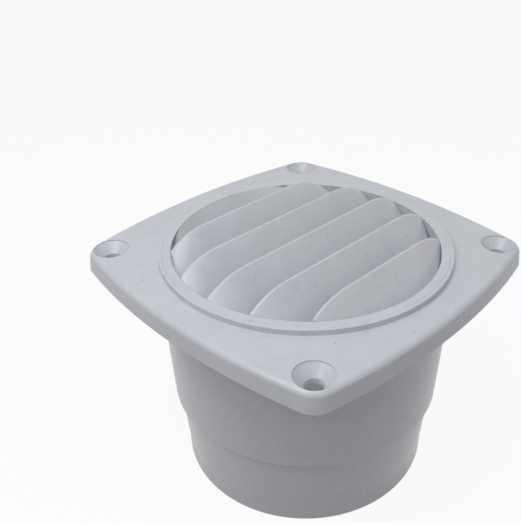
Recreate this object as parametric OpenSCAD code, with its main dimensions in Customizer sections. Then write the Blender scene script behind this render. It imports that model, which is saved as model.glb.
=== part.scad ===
// Square louvred hose vent for a boat's panel or bulkhead.
// A bowed square flange carries a raised collar. A grille ring with five
// hooded louvres and a rear ramp sits inside the collar, and a stepped tail
// below takes a flexible duct hose.
// All sizes are millimetres. The vent stands on the end of its tail at Z = 0,
// the flange faces +Z, and the louvres run along X and open towards +Y.

/* [Flange] */
// Width across the middle of the flange, from side to side
flange_w = 100; // [98:0.5:112]
// Thickness of the flange at its edge
flange_t = 5.5; // [5:0.1:7]
// Radius of the outward bow of each side
bow_r = 196; // [160:1:300]
// Radius of the rounded corners
corner_r = 6.3; // [5.5:0.1:8]
// Radius that rounds the top edge
edge_r = 2.2; // [1:0.1:2.8]
// Width of the rim that bears on the panel
rim_w = 3; // [2:0.1:4]
// Depth of the sealant recess inside the rim
recess_d = 1; // [0.5:0.1:1.5]

/* [Screw holes] */
// Distance of each hole's centre from the two nearest sides
hole_inset = 10.75; // [10:0.05:12]
// Diameter of the screw holes
hole_d = 4.6; // [3.5:0.1:5.5]
// Diameter of the countersinks at the top face
sink_d = 10; // [8:0.1:11]
// Included angle of the countersinks
sink_angle = 90; // [80:1:100]

/* [Grille ring] */
// Bore of the grille ring
ring_bore = 76.4; // [72:0.1:77]
// Wall of the grille ring
ring_wall = 2.3; // [2:0.1:2.6]
// Cover of the grille ring and its ledge below the louvres' toes
toe_cover = 0.2; // [0.1:0.1:2]
// Height of the ring and the collar above the flange
collar_h = 1.6; // [1:0.1:2.5]
// Wall of the raised collar around the ring
collar_wall = 0.8; // [0.6:0.1:1.4]
// Bevel on the collar's outer top edge
collar_bevel = 0.25; // [0.1:0.05:0.4]

/* [Louvres] */
// Spacing of the louvres
louvre_pitch = 12.65; // [12:0.05:13.2]
// Offset of the middle louvre's lip from the centre
louvre_shift = -1.7; // [-3:0.1:1]
// Slope of the louvres
louvre_angle = 45; // [42:1:48]
// Thickness of the louvre plates
louvre_t = 1.2; // [0.9:0.05:1.6]
// Width of the flat on each lip
lip_w = 0.7; // [0.4:0.05:1]
// Height of the lips above the collar
hood_h = 4; // [3:0.1:5]
// Length over which each end of a lip curves down
hood_run = 12.5; // [9:0.5:14]
// Thickness of the curved cheeks at the ends of each hood
cheek_t = 1; // [0.8:0.05:1.4]
// Extra thickness of the plate between the cheeks
hood_skin = 0.1; // [0.05:0.05:0.3]
// Reach of the cheeks below the collar's top
cheek_drop = 1.5; // [1:0.1:2.5]
// Reach of each louvre's tongue into its slot in the ring
tongue = 1.1; // [0.6:0.1:1.4]
// Depth of the rear ramp's top edge below the collar's top
ramp_drop = 0.4; // [0.2:0.1:0.8]

/* [Tail] */
// Length of the tail below the flange
tail_len = 65; // [50:1:120]
// Wall of the tail's mouth, around the grille ring
mouth_wall = 1.9; // [1.5:0.1:2.2]
// Depth of the tail's seat in the flange
seat_d = 2; // [1.2:0.1:3]
// Width of the boss around the tail's seat
boss_w = 2.5; // [2:0.1:3.5]
// Wall of the tail elsewhere
tail_wall = 2.9; // [2.2:0.1:3.2]
// Narrowing of the upper section's radius towards the step
upper_taper = 1.4; // [0.5:0.1:1.8]
// Diameter of the hose spigot at its end
spigot_d = 76.9; // [74:0.1:77.5]
// Length of the hose spigot, up to the step
spigot_len = 23.8; // [20:0.1:35]
// Length of the spigot's parallel end
land_len = 6; // [4:0.5:12]
// Widening of the spigot's radius towards the step
spigot_taper = 1.3; // [0.5:0.1:1.4]
// Height of the bevel at the step
step_h = 1.6; // [1:0.1:3]

/* [Clearances] */
// Gap at seats that are bonded
seat_gap = 0.1; // [0.05:0.01:0.15]
// Gap around the louvres and their tongues
slot_gap = 0.1; // [0.05:0.01:0.15]

/* [Hidden] */
$fn = 128;

PLASTIC = [0.79, 0.8, 0.84];
reach = 2 * flange_w;         // longer than anything that it cuts

// Levels
under_z = tail_len;                     // the face that meets the panel
top_z = under_z + flange_t;             // top face of the flange
collar_z = top_z + collar_h;            // top of the collar and the ring
lip_z = collar_z + hood_h;              // top of the louvres' lips
step_z = spigot_len + step_h;

// Flange outline: four bowed sides that meet round corners tangentially
bow_at = flange_w / 2 - bow_r;          // centre of the +X side's arc
corner_at = (bow_at + sqrt(2 * pow(bow_r - corner_r, 2) - bow_at * bow_at)) / 2;
hole_at = flange_w / 2 - hole_inset;
sink_depth = (sink_d - hole_d) / 2 / tan(sink_angle / 2);

// Radii
ring_r = ring_bore / 2;
ring_out_r = ring_r + ring_wall;
bore_r = ring_out_r + seat_gap;         // flange and tail around the ring
collar_r = bore_r + collar_wall;
mouth_r = bore_r + mouth_wall;          // tail where it enters the flange
step_r = mouth_r - upper_taper;
spigot_r = spigot_d / 2;
spigot_top_r = spigot_r + spigot_taper;

// Louvres. Number 1 is at the back and 5 at the front; 0 is the ramp's plane.
function lip_y(i) = louvre_shift + (3 - i) * louvre_pitch;
run = louvre_pitch - lip_w;             // depth in plan of the sloping plate
fall = run * tan(louvre_angle);
plate_drop = louvre_t / cos(louvre_angle);  // the plate's thickness along Z
hood_drop = plate_drop + hood_skin;     // the same under the hood
foot_z = collar_z - cheek_drop;         // underside of the cheeks
slot_z = foot_z - louvre_t / 2;         // top of the louvres' slots in the ring
ramp_z = collar_z - ramp_drop;          // top edge of the rear ramp
ramp_neck_z = ramp_z - plate_drop / 4;  // top of the ramp's slot in the ring
ramp_front = lip_y(0) - louvre_pitch;   // foot of the ramp's flat ends
toe_z = lip_z - fall;                   // top of the louvres' and the ramp's toes
ramp_edge_r = ring_r - 2 * slot_gap;    // where the ramp starts to fall
ramp_toe_r = ramp_edge_r - (ramp_z - toe_z) / tan(louvre_angle);
ledge_z = toe_z - plate_drop - toe_cover;   // seat of the grille ring

// Height of louvre i's outer plane at y
function plane_z(i, y) = lip_z - (lip_y(i) - lip_w - y) * tan(louvre_angle);
function plane_y(i, z) = lip_y(i) - lip_w - (lip_z - z) / tan(louvre_angle);

// Prism along X from a section in Y and Z
module along_x() {
    translate([-reach / 2, 0, 0]) rotate([90, 0, 90])
        linear_extrude(reach) children();
}

module disc(r, z0, z1) {
    translate([0, 0, z0]) cylinder(r = r, h = z1 - z0);
}

module tube(r_out, r_in, z0, z1) {
    difference() {
        disc(r_out, z0, z1);
        disc(r_in, z0 - 1, z1 + 1);
    }
}

// ---- flange ----------------------------------------------------------

// Points of the flange's outline, moved in by cut. The sides' arcs meet the
// corners' arcs on the rays through both their centres.
function flange_outline(cut) = let (
    ray = atan2(corner_at, corner_at - bow_at),
    side = [for (k = [-9 : 9]) let (t = ray * k / 9)
        [bow_at + (bow_r - cut) * cos(t), (bow_r - cut) * sin(t)]],
    corner = [for (k = [1 : 7]) let (t = ray + (90 - 2 * ray) * k / 8)
        [corner_at + (corner_r - cut) * cos(t),
         corner_at + (corner_r - cut) * sin(t)]])
    [for (a = [0 : 90 : 270], p = concat(side, corner))
        [p[0] * cos(a) - p[1] * sin(a), p[0] * sin(a) + p[1] * cos(a)]];

// The flange from Z = 0 up to its top, whose edge is rounded in five steps
module flange_blank() {
    hull() for (k = [0 : 5])
        linear_extrude(flange_t - edge_r + edge_r * sin(18 * k))
            polygon(flange_outline(edge_r * (1 - cos(18 * k))));
}

module screw_hole() {
    disc(hole_d / 2, under_z - 1, top_z + 1);
    translate([0, 0, top_z - sink_depth])
        cylinder(r1 = hole_d / 2, r2 = sink_d / 2, h = sink_depth);
    disc(sink_d / 2, top_z, top_z + 1);
}

module flange_plate() color(PLASTIC) {
    difference() {
        translate([0, 0, under_z]) flange_blank();
        // sealant recess between the rim and the boss around the tail
        difference() {
            translate([0, 0, under_z - recess_d]) linear_extrude(2 * recess_d)
                polygon(flange_outline(rim_w));
            disc(mouth_r + seat_gap + boss_w, under_z - 2, top_z);
        }
        disc(mouth_r + seat_gap, under_z - 1, under_z + seat_d);
        disc(bore_r, under_z, top_z + 1);
        for (x = [-1, 1], y = [-1, 1])
            translate([x * hole_at, y * hole_at, 0]) screw_hole();
    }
    // raised collar around the grille ring
    difference() {
        union() {
            disc(collar_r, top_z - edge_r, collar_z - collar_bevel);
            translate([0, 0, collar_z - collar_bevel])
                cylinder(r1 = collar_r, r2 = collar_r - collar_bevel,
                         h = collar_bevel);
        }
        disc(bore_r, under_z, collar_z + 1);
    }
}

// ---- tail ------------------------------------------------------------

module hose_tail() color(PLASTIC) {
    seat_z = under_z + seat_d;
    rotate_extrude() polygon([
        [spigot_r - tail_wall, 0],
        [spigot_r, 0],
        [spigot_r, land_len],
        [spigot_top_r, spigot_len],
        [step_r, step_z],
        [mouth_r, under_z],
        [mouth_r, seat_z],
        [bore_r, seat_z],
        [bore_r, ledge_z],
        [ring_r, ledge_z],
        [step_r - tail_wall, step_z],
        [spigot_r - tail_wall, spigot_len]]);
}

// ---- grille ----------------------------------------------------------

// Section of louvre i's sloping plate, with gap added above and below it
function plate_section(i, gap) = let (
    lift = gap / cos(louvre_angle),
    front = lip_y(i) - louvre_pitch - gap,
    back = lip_y(i) + gap) [
    [front, plane_z(i, front) + lift],
    [back, plane_z(i, back) + lift],
    [back, plane_z(i, back) - plate_drop - lift],
    [front, plane_z(i, front) - plate_drop - lift]];

// Section of the slot that holds the rear ramp in the ring's wall: level at the
// back, then sloping in the plane of a louvre number 0
function ramp_slot_section() = let (
    lift = slot_gap / cos(louvre_angle),
    front = ramp_front - slot_gap,
    top = ramp_z + lift,
    under = ramp_z - plate_drop - lift) [
    [front, plane_z(0, front) + lift],
    [plane_y(0, top - lift), top],
    [reach, top],
    [reach, under],
    [plane_y(0, under + plate_drop + lift), under],
    [front, plane_z(0, front) - plate_drop - lift]];

// Everything under the rear ramp's top surface, and out from its toe: a funnel
// that falls from the ring's edge, cut down to the plane of a louvre number 0
module under_ramp(toe_r, front) {
    intersection() {
        rotate_extrude() polygon([
            [toe_r, foot_z - reach],
            [reach, foot_z - reach],
            [reach, ramp_z],
            [ramp_edge_r, ramp_z],
            [toe_r, ramp_z - (ramp_edge_r - toe_r) * tan(louvre_angle)]]);
        along_x() polygon([
            [front, foot_z - reach],
            [front, plane_z(0, front)],
            [reach, plane_z(0, reach)],
            [reach, foot_z - reach]]);
    }
}

// Room for a louvre: the ring's bore down to neck_z, and below it the slots
// in the ring's wall. A positive gap opens the slots for the ring's own cut.
module slot_room(neck_z, gap) {
    rotate_extrude() polygon([
        [0, ledge_z - toe_cover - 1],
        [ring_r + tongue + gap, ledge_z - toe_cover - 1],
        [ring_r + tongue + gap, neck_z + gap],
        [ring_r - slot_gap, neck_z + gap],
        [ring_r - slot_gap, lip_z + lip_w],
        [0, lip_z + lip_w]]);
}

// What lies under the curved end of louvre i's hood, on its +X side. The
// curve runs along the ring's tangent at the lip, and thick moves it in.
module hood_end(i, thick) {
    end_x = sqrt(ring_r * ring_r - lip_y(i) * lip_y(i));
    depth = hood_run * end_x / ring_r;      // run of the curve, square to the ring
    curve_r = (depth * depth + hood_h * hood_h) / 2 / hood_h;
    translate([end_x, lip_y(i), 0])
        rotate(atan2(lip_y(i), end_x)) rotate([90, 0, 0])
            linear_extrude(reach, center = true) {
                translate([-depth, lip_z - curve_r]) circle(curve_r - thick);
                translate([-depth - reach, 0])
                    square([reach, lip_z - thick]);
                translate([-reach, 0]) square([2 * reach, (foot_z + collar_z) / 2]);
            }
}

module louvre(i) color(PLASTIC) {
    difference() {
        intersection() {
            union() {
                along_x() polygon(plate_section(i, 0));
                // block behind the plate, which the cheeks are left of
                along_x() polygon([
                    [lip_y(i), lip_z - lip_w],
                    [plane_y(i, foot_z + plate_drop / 2), foot_z],
                    [lip_y(i), foot_z]]);
            }
            hood_end(i, 0);
            mirror([1, 0, 0]) hood_end(i, 0);
            slot_room(slot_z, 0);
        }
        intersection() {
            along_x() polygon([
                [plane_y(i, foot_z - 1 + hood_drop), foot_z - 1],
                [lip_y(i) + 1, plane_z(i, lip_y(i) + 1) - hood_drop],
                [lip_y(i) + 1, foot_z - 1]]);
            hood_end(i, cheek_t);
            mirror([1, 0, 0]) hood_end(i, cheek_t);
            disc(ring_r - cheek_t, 0, lip_z);
        }
    }
}

module rear_ramp() color(PLASTIC) {
    intersection() {
        difference() {
            under_ramp(ramp_toe_r, ramp_front);
            translate([0, 0, -plate_drop])
                under_ramp(ramp_toe_r - louvre_t, ramp_front - louvre_t);
        }
        slot_room(ramp_neck_z, 0);
    }
}

module grille_ring() color(PLASTIC) {
    difference() {
        tube(ring_out_r, ring_r, ledge_z, collar_z);
        intersection() {
            along_x() polygon(ramp_slot_section());
            slot_room(ramp_neck_z, slot_gap);
        }
        for (i = [1 : 5]) intersection() {
            along_x() polygon(plate_section(i, slot_gap));
            slot_room(slot_z, slot_gap);
        }
    }
}

flange_plate();
hose_tail();
grille_ring();
rear_ramp();
louvre(1);  // louvre_1
louvre(2);  // louvre_2
louvre(3);  // louvre_3
louvre(4);  // louvre_4
louvre(5);  // louvre_5
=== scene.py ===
"""White louvred hose vent: its moulded pieces, finish, floor, lamps and camera."""

import bmesh
import bpy
import math
from mathutils import Euler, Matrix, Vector


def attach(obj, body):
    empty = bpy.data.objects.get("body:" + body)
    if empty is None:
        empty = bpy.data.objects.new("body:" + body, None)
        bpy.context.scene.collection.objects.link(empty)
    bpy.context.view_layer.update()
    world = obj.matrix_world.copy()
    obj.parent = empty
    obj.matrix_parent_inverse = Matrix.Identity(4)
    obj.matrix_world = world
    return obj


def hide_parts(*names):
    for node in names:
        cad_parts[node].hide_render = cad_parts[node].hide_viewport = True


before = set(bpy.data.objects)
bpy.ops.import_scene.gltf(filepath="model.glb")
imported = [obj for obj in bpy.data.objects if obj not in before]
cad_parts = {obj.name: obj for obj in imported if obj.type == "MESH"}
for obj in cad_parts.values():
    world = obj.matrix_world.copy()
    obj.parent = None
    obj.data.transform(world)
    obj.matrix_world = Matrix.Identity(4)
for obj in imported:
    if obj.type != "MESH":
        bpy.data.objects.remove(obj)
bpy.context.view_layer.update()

# ---- sizes, in millimetres as in the part ---------------------------------

MM = 0.001
SEGMENTS = 192                  # round a turned piece

# flange, collar and screw holes
HALF_W = 50.0                   # at the middle of a side
UNDER_Z, TOP_Z = 65.0, 70.5     # underside and top of the flange
BOW_R, CORNER_R = 196.0, 6.3    # bow of the sides, and the corners
BOW_STEPS, CORNER_STEPS = 24, 16
TOP_SHARE = 0.9865              # size of the top against the underside
EDGE_R, RIM_W, RECESS_D = 1.5, 3.0, 1.0
HOLE_AT, HOLE_R, SINK_R = 39.25, 2.3, 5.0
RIM_STEP = 0.35                 # straight step at the rim of each countersink
COLLAR_R, BOSS_R = 41.7, 45.1   # raised collar, and the boss around the tail's seat
SEAT_D = 2.0                    # depth of that seat
BORE_R = 40.6                   # room for the grille ring

# tail and grille ring
COLLAR_Z = 72.1                 # top of the collar and the ring
RING_R, RING_OUT_R = 38.2, 40.58
LEDGE_Z = 62.25                 # seat of the ring
TAIL_WALL = 2.9
MOUTH_R, STEP_R, STEP_Z = 42.5, 41.1, 25.4
SPIGOT_R, SPIGOT_TOP_R, SPIGOT_Z, LAND_Z = 38.45, 39.75, 23.8, 6.0

# louvres and rear ramp
LIP_Z, TOE_Z = 76.1, 64.15
PITCH, SHIFT, LIP_W = 12.65, -1.7, 0.6
HOOD_H, HOOD_RUN = 4.0, 12.5    # drop and length of the curve at a lip's ends
PLATE_DROP = 1.7                # a louvre's thickness along Z
EDGE_RUN, EDGE_ROLL = 1.5, 1.5  # rounding of a louvre's +X end towards the ring's wall
WALL_R = RING_R - 0.06          # reach of the louvres and the ramp
RAMP_Z, RAMP_LIP_W, RAMP_T = 72.0, 0.7, 1.2
VALLEY_W, VALLEY_D = 1.6, 0.4   # soft valley between the ramp's funnel and its plane
ACROSS = 96                     # faces across a louvre or the ramp


# ---- node expressions ---------------------------------------------------

class Socket:
    """A node's output, so that shader maths reads as plain expressions."""

    def __init__(self, tree, out):
        self.tree, self.out = tree, out

    def maths(self, operation, a, b):
        return add_node(self.tree, "ShaderNodeMath", {"operation": operation}, [a, b])

    def __add__(self, other):
        return self.maths("ADD", self, other)

    def __radd__(self, other):
        return self.maths("ADD", other, self)

    def __sub__(self, other):
        return self.maths("SUBTRACT", self, other)

    def __rsub__(self, other):
        return self.maths("SUBTRACT", other, self)

    def __mul__(self, other):
        return self.maths("MULTIPLY", self, other)

    def __rmul__(self, other):
        return self.maths("MULTIPLY", other, self)

    def __gt__(self, other):
        return self.maths("GREATER_THAN", self, other)

    def __lt__(self, other):
        return self.maths("LESS_THAN", self, other)


def plug(tree, target, value):
    """Puts a link or a plain value into an input."""
    if isinstance(value, Socket):
        tree.links.new(value.out, target)
    else:
        target.default_value = value


def add_node(tree, kind, settings=None, values=(), output=0):
    """Adds a node with its settings, then its inputs by name or by order."""
    node = tree.nodes.new(kind)
    for name, value in (settings or {}).items():
        setattr(node, name, value)
    pairs = values.items() if isinstance(values, dict) else enumerate(values)
    for key, value in pairs:
        plug(tree, node.inputs[key], value)
    return Socket(tree, node.outputs[output]) if node.outputs else None


def new_material(name):
    material = bpy.data.materials.new(name)
    material.use_nodes = True
    material.node_tree.nodes.clear()
    return material, material.node_tree


def ramp(tree, factor, stops):
    """Colour ramp from (position, colour) stops."""
    node = tree.nodes.new("ShaderNodeValToRGB")
    elements = node.color_ramp.elements
    while len(elements) < len(stops):
        elements.new(0.5)
    for element, (position, colour) in zip(elements, stops):
        element.position, element.color = position, colour
    plug(tree, node.inputs["Fac"], factor)
    return Socket(tree, node.outputs["Color"])


def blend_colour(tree, factor, first, second):
    node = tree.nodes.new("ShaderNodeMix")
    node.data_type = "RGBA"
    plug(tree, node.inputs["Factor"], factor)
    plug(tree, node.inputs[6], first)
    plug(tree, node.inputs[7], second)
    return Socket(tree, node.outputs[2])


# ---- finishes -------------------------------------------------------------

def shade(colour, red, green, blue):
    return (colour[0] * red, colour[1] * green, colour[2] * blue, 1.0)


def moulded_plastic(name, colour):
    """White moulded plastic: faint clouds and tints, rare specks and a fine grain."""
    material, tree = new_material(name)
    place = add_node(tree, "ShaderNodeTexCoord", output=3)
    cloud = add_node(tree, "ShaderNodeTexNoise", {}, {
        "Vector": place, "Scale": 85.0, "Detail": 4.0, "Roughness": 0.6})
    drift = add_node(tree, "ShaderNodeTexNoise", {}, {
        "Vector": place, "Scale": 22.0, "Detail": 2.0, "Roughness": 0.5})
    grain = add_node(tree, "ShaderNodeTexNoise", {}, {
        "Vector": place, "Scale": 1400.0, "Detail": 3.0, "Roughness": 0.55})
    spots = add_node(tree, "ShaderNodeTexVoronoi", {}, {"Vector": place, "Scale": 220.0})
    tone = ramp(tree, cloud, [(0.3, shade(colour, 0.955, 0.955, 0.958)),
                              (0.7, shade(colour, 1.035, 1.035, 1.03))])
    tint = ramp(tree, drift, [(0.35, (0.985, 1.0, 0.985, 1.0)),
                              (0.65, (1.0, 0.99, 1.01, 1.0))])
    tinted = add_node(tree, "ShaderNodeMix",
                      {"data_type": "RGBA", "blend_type": "MULTIPLY"},
                      {"Factor": 1.0, 6: tone, 7: tint}, output=2)
    speck = (spots < 0.055) * (drift > 0.48)
    paint = blend_colour(tree, speck * 0.7, tinted, (0.12, 0.12, 0.13, 1.0))
    bump = add_node(tree, "ShaderNodeBump", {}, {
        "Strength": 0.05, "Distance": 0.0002, "Height": grain})
    shader = add_node(tree, "ShaderNodeBsdfPrincipled", {}, {
        "Base Color": paint,
        "Roughness": 0.22 + 0.12 * cloud,
        "IOR": 1.5,
        "Normal": bump,
    })
    add_node(tree, "ShaderNodeOutputMaterial", {}, {"Surface": shader})
    return material


def seen_directly(tree):
    """1 where the camera, a reflection or a clear surface sees this shader."""
    rays = tree.nodes.new("ShaderNodeLightPath")
    seen, glossy, through = (Socket(tree, rays.outputs[name]) for name in (
        "Is Camera Ray", "Is Glossy Ray", "Is Transmission Ray"))
    return add_node(tree, "ShaderNodeMath", {"operation": "ADD", "use_clamp": True},
                    [seen + glossy, through])


def studio_floor(name):
    """Floor that the camera sees as near white, with the object's own shadow."""
    material, tree = new_material(name)
    shown = seen_directly(tree)
    cloth = blend_colour(tree, shown, (0.40, 0.40, 0.40, 1.0), (0.85, 0.85, 0.85, 1.0))
    matte = add_node(tree, "ShaderNodeBsdfDiffuse", {}, {"Color": cloth})
    glow = add_node(tree, "ShaderNodeEmission", {}, {
        "Color": (1.0, 1.0, 1.0, 1.0), "Strength": 1.0})
    surface = add_node(tree, "ShaderNodeMixShader", {}, [shown * 0.92, matte, glow])
    add_node(tree, "ShaderNodeOutputMaterial", {}, {"Surface": surface})
    return material


white_plastic = moulded_plastic("white_plastic", (0.565, 0.572, 0.600))


# ---- making pieces --------------------------------------------------------

def select_only(piece):
    bpy.ops.object.select_all(action="DESELECT")
    piece.select_set(True)
    bpy.context.view_layer.objects.active = piece


def in_mm(x, y, z):
    return (x * MM, y * MM, z * MM)


def pick(piece, kind, test):
    """Selects, in edit mode, the edges or faces all of whose points pass test."""
    bpy.ops.mesh.select_mode(type=kind)
    bpy.ops.mesh.select_all(action="DESELECT")
    shape = bmesh.from_edit_mesh(piece.data)
    for part in shape.faces if kind == "FACE" else shape.edges:
        if all(test(corner.co / MM) for corner in part.verts):
            part.select_set(True)
    bmesh.update_edit_mesh(piece.data)


def close_up(piece, caps=True):
    """Merges doubles, closes open ends if asked and turns the faces outwards."""
    bpy.ops.mesh.select_mode(type="VERT")
    bpy.ops.mesh.select_all(action="SELECT")
    bpy.ops.mesh.remove_doubles(threshold=0.001 * MM)
    if caps:
        bpy.ops.mesh.fill_holes(sides=0)
        bpy.ops.mesh.select_all(action="SELECT")
    bpy.ops.mesh.normals_make_consistent(inside=False)
    bpy.ops.object.mode_set(mode="OBJECT")
    bpy.ops.object.transform_apply(location=True, rotation=False, scale=False)


def soften(points, steps=4):
    """Rounds the corners of a section given as (radius, z, round) points."""
    line = []
    for k, (r, z, cut) in enumerate(points):
        if not cut:
            line.append((r, z))
            continue
        here = Vector((r, z))
        before, after = (Vector(points[(k + d) % len(points)][:2]) - here for d in (-1, 1))
        first, last = here + before.normalized() * cut, here + after.normalized() * cut
        for step in range(steps + 1):
            t = step / steps
            spot = first * (1 - t) ** 2 + here * (2 * t * (1 - t)) + last * t ** 2
            line.append((spot.x, spot.y))
    return line


def turned(name, section, centre=(0.0, 0.0), solid=False):
    """Turned piece: a circle extruded and resized along its section."""
    bpy.ops.object.select_all(action="DESELECT")
    r, z = section[0]
    bpy.ops.mesh.primitive_circle_add(vertices=SEGMENTS, radius=r * MM,
                                      location=in_mm(*centre, z))
    piece = bpy.context.active_object
    piece.name = name
    bpy.ops.object.mode_set(mode="EDIT")
    bpy.ops.mesh.select_mode(type="EDGE")
    bpy.ops.mesh.select_all(action="SELECT")
    for next_r, next_z in section[1:] + ([] if solid else section[:1]):
        bpy.ops.mesh.extrude_edges_move(
            TRANSFORM_OT_translate={"value": in_mm(0.0, 0.0, next_z - z)})
        if abs(next_r - r) > 1e-6:
            bpy.ops.transform.resize(value=(next_r / r, next_r / r, 1.0))
        r, z = next_r, next_z
    close_up(piece, caps=solid)
    return piece


def modify(piece, kind, **settings):
    """Adds a modifier, sets it and applies it."""
    select_only(piece)
    modifier = piece.modifiers.new(kind.lower(), kind)
    for name, value in settings.items():
        setattr(modifier, name, value)
    bpy.ops.object.modifier_apply(modifier=modifier.name)


def combine(piece, tool, operation="DIFFERENCE"):
    """Cuts the tool out of a piece, or joins the two."""
    modify(piece, "BOOLEAN", operation=operation, object=tool, solver="EXACT")
    bpy.data.objects.remove(tool)


def dress(piece, node):
    """Smooths a finished piece and puts it in the place of its CAD node."""
    select_only(piece)
    bpy.ops.object.shade_smooth_by_angle(angle=math.radians(32.0))
    modify(piece, "WEIGHTED_NORMAL", keep_sharp=True, weight=50)
    piece.data.materials.clear()
    piece.data.materials.append(white_plastic)
    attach(piece, "root")
    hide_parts(node)


# ---- flange ---------------------------------------------------------------

def flange_outline():
    """Points of the outline: four bowed sides that run into round corners."""
    bow_at = HALF_W - BOW_R
    corner_at = (bow_at + math.sqrt(2 * (BOW_R - CORNER_R) ** 2 - bow_at ** 2)) / 2
    ray = math.atan2(corner_at, corner_at - bow_at)
    quarter = []
    for k in range(-BOW_STEPS, BOW_STEPS + 1):
        t = ray * k / BOW_STEPS
        quarter.append((bow_at + BOW_R * math.cos(t), BOW_R * math.sin(t)))
    for k in range(1, CORNER_STEPS):
        t = ray + (math.pi / 2 - 2 * ray) * k / CORNER_STEPS
        quarter.append((corner_at + CORNER_R * math.cos(t),
                        corner_at + CORNER_R * math.sin(t)))
    return [(x * c - y * s, x * s + y * c)
            for c, s in ((1, 0), (0, 1), (-1, 0), (0, -1)) for x, y in quarter]


def make_flange():
    """Plate with a rounded top edge, recess, boss, collar, bore and screw holes."""
    outline = flange_outline()
    bpy.ops.object.select_all(action="DESELECT")
    bpy.ops.mesh.primitive_circle_add(vertices=len(outline), radius=HALF_W * MM,
                                      fill_type="NGON", location=(0.0, 0.0, 0.0))
    piece = bpy.context.active_object
    piece.name = "flange"
    for corner, (x, y) in zip(piece.data.vertices, outline):
        corner.co = in_mm(x, y, UNDER_Z)
    bpy.ops.object.mode_set(mode="EDIT")
    pick(piece, "FACE", lambda p: True)
    bpy.ops.mesh.extrude_region_move(
        TRANSFORM_OT_translate={"value": in_mm(0.0, 0.0, TOP_Z - UNDER_Z)})
    pick(piece, "FACE", lambda p: p.z > TOP_Z - 0.01)
    bpy.ops.transform.resize(value=(TOP_SHARE, TOP_SHARE, 1.0))
    pick(piece, "EDGE", lambda p: p.z > TOP_Z - 0.01)
    bpy.ops.mesh.bevel(offset=EDGE_R * MM, segments=6, affect="EDGES")
    # the rim that bears on the panel, and the sealant recess inside it
    pick(piece, "FACE", lambda p: p.z < UNDER_Z + 0.01)
    bpy.ops.mesh.inset(thickness=RIM_W * MM)
    bpy.ops.mesh.extrude_region_move(
        TRANSFORM_OT_translate={"value": in_mm(0.0, 0.0, RECESS_D)})
    bpy.ops.mesh.select_mode(type="VERT")
    bpy.ops.mesh.select_all(action="SELECT")
    bpy.ops.mesh.normals_make_consistent(inside=False)
    bpy.ops.object.mode_set(mode="OBJECT")

    boss = turned("boss", [(BOSS_R - 0.3, UNDER_Z), (BOSS_R, UNDER_Z + 0.3), (BOSS_R, 68.0)],
                  solid=True)
    combine(piece, boss, "UNION")
    collar = turned("collar", soften([
        (COLLAR_R, TOP_Z - 1.0, 0), (COLLAR_R, COLLAR_Z, 0.22),
        (BORE_R - 2.0, COLLAR_Z, 0)]), solid=True)
    combine(piece, collar, "UNION")
    bore = turned("bore", [
        (MOUTH_R + 0.1, UNDER_Z - 1.0), (MOUTH_R + 0.1, UNDER_Z + SEAT_D),
        (BORE_R, UNDER_Z + SEAT_D), (BORE_R, COLLAR_Z - 0.03),
        (BORE_R + 0.03, COLLAR_Z + 0.01), (BORE_R + 0.03, COLLAR_Z + 1.0)], solid=True)
    combine(piece, bore)
    for x in (-HOLE_AT, HOLE_AT):
        for y in (-HOLE_AT, HOLE_AT):
            sink = turned("sink", soften([
                (HOLE_R, UNDER_Z - 1.0, 0), (HOLE_R, TOP_Z - RIM_STEP - SINK_R + HOLE_R, 0.2),
                (SINK_R, TOP_Z - RIM_STEP, 0.05), (SINK_R + 0.04, TOP_Z + 1.0, 0)]),
                (x, y), solid=True)
            combine(piece, sink)
    dress(piece, "flange_plate")


make_flange()

# ---- tail and grille ring -------------------------------------------------

tail = turned("tail", soften([
    (SPIGOT_R - TAIL_WALL, 0.0, 0.4), (SPIGOT_R, 0.0, 0.5), (SPIGOT_R, LAND_Z, 0.6),
    (SPIGOT_TOP_R, SPIGOT_Z, 0.12), (STEP_R, STEP_Z, 0.25),
    (MOUTH_R, UNDER_Z, 0), (MOUTH_R, UNDER_Z + SEAT_D, 0.2),
    (BORE_R, UNDER_Z + SEAT_D, 0.15), (BORE_R, LEDGE_Z, 0.1), (RING_R, LEDGE_Z, 0.1),
    (STEP_R - TAIL_WALL, STEP_Z, 0.3), (SPIGOT_R - TAIL_WALL, SPIGOT_Z, 0.5)]))
dress(tail, "hose_tail")

inner_ring = turned("inner_ring", soften([
    (RING_R, LEDGE_Z, 0.1), (RING_OUT_R, LEDGE_Z, 0.1),
    (RING_OUT_R, COLLAR_Z, 0.04), (RING_R, COLLAR_Z, 0.2)]))
dress(inner_ring, "grille_ring")


# ---- louvres ----------------------------------------------------------------

def formed_grid(name, columns, rows, place, caps):
    """A grid primitive whose points go to place(across, along), each 0 to 1."""
    bpy.ops.object.select_all(action="DESELECT")
    bpy.ops.mesh.primitive_grid_add(x_subdivisions=columns, y_subdivisions=rows, size=1.0,
                                    location=(0.0, 0.0, 0.0))
    piece = bpy.context.active_object
    piece.name = name
    for corner in piece.data.vertices:
        spot = place(corner.co.x + 0.5, corner.co.y + 0.5)
        corner.co = Vector(spot) * MM
    bpy.ops.object.mode_set(mode="EDIT")
    close_up(piece, caps)
    return piece


def end_drop(x, y, lip_y):
    """How far a louvre's lip has come down at its ends' curves."""
    end_x = math.sqrt(RING_R ** 2 - lip_y ** 2)
    depth = HOOD_RUN * end_x / RING_R
    curve_r = (depth ** 2 + HOOD_H ** 2) / 2 / HOOD_H
    inside = RING_R - (abs(x) * end_x + y * lip_y) / RING_R
    short = max(0.0, depth - max(0.0, inside))
    return curve_r - math.sqrt(curve_r ** 2 - short ** 2)


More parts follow.
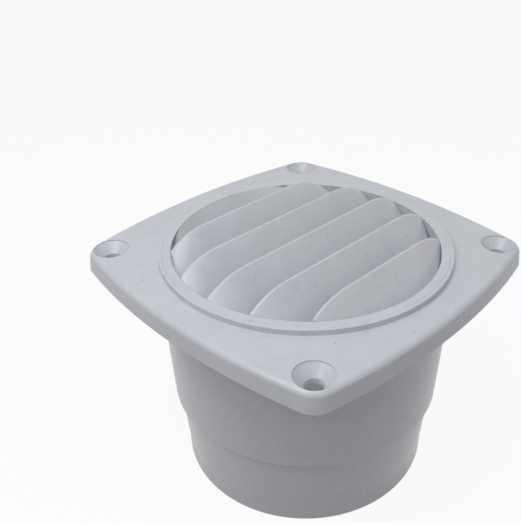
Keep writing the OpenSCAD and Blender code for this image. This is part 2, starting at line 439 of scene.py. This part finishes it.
def make_louvre(i):
    """Louvre i, counted from the back: a section carried across the ring."""
    lip_y = SHIFT + (3 - i) * PITCH
    toe_y = max(lip_y - PITCH, 0.08 - RING_R)
    plane_top = LIP_Z + LIP_W - lip_y           # the plane is at z = plane_top + y

    # section round the plate as (y, level before the hood's curve, drop below it)
    steps = 20
    face = lip_y - LIP_W - 0.25 - toe_y         # depth of the face up to its round
    section = [(toe_y + face * k / steps, plane_top + toe_y + face * k / steps, 0.0)
               for k in range(steps + 1)]
    section += [(lip_y - LIP_W - 0.1, LIP_Z - 0.12, 0.0),
                (lip_y - LIP_W + 0.07, LIP_Z - 0.02, 0.0),
                (lip_y - LIP_W + 0.2, LIP_Z, 0.0), (lip_y - 0.15, LIP_Z, 0.0),
                (lip_y - 0.04, LIP_Z, 0.04), (lip_y, LIP_Z, 0.15),
                (lip_y, LIP_Z, 0.6), (lip_y, LIP_Z, 1.1)]
    under = [lip_y + (toe_y - lip_y) * k / steps for k in range(1, steps + 1)]
    section += [(y, min(LIP_Z, plane_top + y), PLATE_DROP) for y in under]
    section.append(section[0])

    def place(across, along):
        y, level, drop = section[round(along * (len(section) - 1))]
        half = math.sqrt(WALL_R ** 2 - y ** 2)
        x = half * math.sin((across - 0.5) * math.pi)
        # straight from the toe to the lip at each x, and rolled down along the wall
        level -= end_drop(x, y, lip_y) * (level - TOE_Z) / (LIP_Z - TOE_Z)
        edge = max(0.0, 1.0 - (half - x) / EDGE_RUN)
        below = min(1.0, max(0.0, (COLLAR_Z - 0.8 - level) / 2.5))
        return x, y, level - drop - EDGE_ROLL * edge * edge * below

    plate = formed_grid("louvre_%d_plate" % i, ACROSS, len(section) - 1, place, caps=True)
    dress(plate, "louvre_%d" % i)


for number in range(1, 6):
    make_louvre(number)


# ---- rear ramp --------------------------------------------------------------

def make_rear_ramp():
    """Funnel that falls from the ring's edge to the plane of a louvre number 0."""
    front = SHIFT + 2 * PITCH - 0.1             # just under the first louvre's lip
    half = math.sqrt(WALL_R ** 2 - front ** 2)
    plane_top = LIP_Z + RAMP_LIP_W - SHIFT - 3 * PITCH

    def place(across, along):
        x = half * math.sin((across - 0.5) * math.pi) * 0.9995
        back = math.sqrt(WALL_R ** 2 - x ** 2)
        y = front + (back - front) * along
        cone = RAMP_Z - (RING_R - math.hypot(x, y))
        plane = plane_top + y
        # the lower of the two, with a soft valley between them
        gap = max(0.0, VALLEY_W - abs(cone - plane)) / VALLEY_W
        return x, y, min(cone, plane) - gap * gap * VALLEY_D

    piece = formed_grid("rear_ramp_funnel", ACROSS, 24, place, caps=False)
    modify(piece, "SOLIDIFY", thickness=RAMP_T * MM, offset=-1.0)
    dress(piece, "rear_ramp")


make_rear_ramp()


# ---- floor, lamps and camera ---------------------------------------------

bpy.ops.object.select_all(action="DESELECT")
bpy.ops.mesh.primitive_plane_add(size=6.0, location=(0.0, 0.0, 0.0))
floor = bpy.context.active_object
floor.name = "studio_floor"
floor.data.materials.append(studio_floor("floor_white"))

world = bpy.data.worlds.new("studio_world")
bpy.context.scene.world = world
world.use_nodes = True
tree = world.node_tree
tree.nodes.clear()
fill = add_node(tree, "ShaderNodeBackground", {}, {
    "Color": (0.985, 0.985, 1.0, 1.0), "Strength": 0.32})
white = add_node(tree, "ShaderNodeBackground", {}, {
    "Color": (1.0, 1.0, 1.0, 1.0), "Strength": 1.0})
both = add_node(tree, "ShaderNodeMixShader", {}, [seen_directly(tree), fill, white])
add_node(tree, "ShaderNodeOutputWorld", {}, {"Surface": both})


def soft_lamp(name, place, target, size, power, colour=(1.0, 1.0, 1.0)):
    """Square area lamp of the given size, aimed at target."""
    data = bpy.data.lights.new(name, "AREA")
    data.shape, data.size, data.energy, data.color = "SQUARE", size, power, colour
    lamp = bpy.data.objects.new(name, data)
    lamp.location = place
    lamp.rotation_euler = (Vector(target) - Vector(place)).to_track_quat("-Z", "Y").to_euler()
    bpy.context.scene.collection.objects.link(lamp)


grille_middle = (0.0, 0.0, 0.07)
soft_lamp("top_lamp", (-0.10, -0.03, 0.52), grille_middle, 0.34, 1.0, (0.95, 0.98, 1.05))
soft_lamp("right_lamp", (0.10, -0.60, 0.25), (0.0, 0.0, 0.05), 0.35, 0.2)
soft_lamp("side_lamp", (-0.21, 0.02, 0.30), grille_middle, 0.16, 0.26)

camera_data = bpy.data.cameras.new("camera")
camera_data.sensor_width = 36.0
camera_data.lens = 46.75
camera_data.shift_x = -0.0755
camera_data.shift_y = 0.01625
camera = bpy.data.objects.new("camera", camera_data)
bpy.context.scene.collection.objects.link(camera)
camera.location = (-0.12317, -0.11467, 0.16869)
camera.rotation_euler = Euler([math.radians(a) for a in (57.735, -0.063, -46.417)])
bpy.context.scene.camera = camera

bpy.context.scene.view_settings.view_transform = "Standard"
